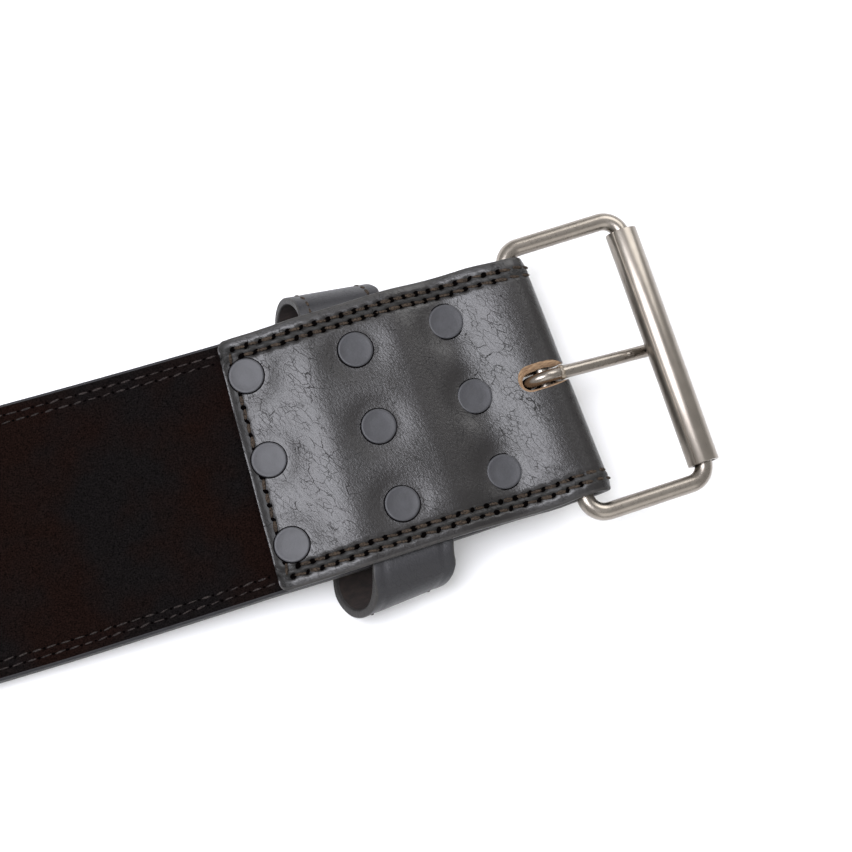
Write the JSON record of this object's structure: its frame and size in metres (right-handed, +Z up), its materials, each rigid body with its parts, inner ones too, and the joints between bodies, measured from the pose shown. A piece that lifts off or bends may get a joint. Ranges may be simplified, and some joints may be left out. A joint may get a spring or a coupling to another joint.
{
  "type": "weightlifting belt",
  "caption": "Wide leather weightlifting belt lying suede side up, with a riveted flap folded round a wire roller buckle, its prong, a keeper loop and a row of prong holes.",
  "frame": {"origin": "bottom centre of the bounding box, on the surface that the belt lies on", "axes": "+X runs along the belt toward the buckle, +Y across the belt, +Z up, away from the surface"},
  "size_m": [1.048, 0.1276, 0.0343],
  "materials": {
    "smooth_leather": "black smooth leather with a soft sheen, fine grain and creases",
    "suede_leather": "matt near-black brown suede",
    "keeper_leather": "slate black matt leather",
    "satin_nickel": "satin nickel plated steel",
    "black_rivet": "matt black coated flat rivet head"
  },
  "bodies": {
    "belt": {"outer_strap": "smooth_leather", "inner_ply": "suede_leather", "keeper_loop": "keeper_leather", "rivet_1": "black_rivet", "rivet_2": "black_rivet", "rivet_3": "black_rivet", "rivet_4": "black_rivet", "rivet_5": "black_rivet", "rivet_6": "black_rivet", "rivet_7": "black_rivet", "rivet_8": "black_rivet", "rivet_9": "black_rivet"},
    "buckle": {"buckle_frame": "satin_nickel"},
    "roller": {"roller": "satin_nickel"},
    "prong": {"prong": "satin_nickel"}
  },
  "joints": [
    {"name": "buckle_swing", "type": "hinge", "parent": "belt", "child": "buckle", "pos_m": [0.46697, 0, 0.0245], "axis": [0.0332, -0.9995, 0], "range_deg": [-55, 90]},
    {"name": "prong_swing", "type": "hinge", "parent": "buckle", "child": "prong", "pos_m": [0.46697, 0, 0.0245], "axis": [-0.0332, 0.9995, 0], "range_deg": [0, 90]},
    {"name": "roller_spin", "type": "hinge", "parent": "buckle", "child": "roller", "pos_m": [0.5165, 0.00004, 0.0245], "axis": [-0.0332, 0.9995, 0], "continuous": true}
  ]
}
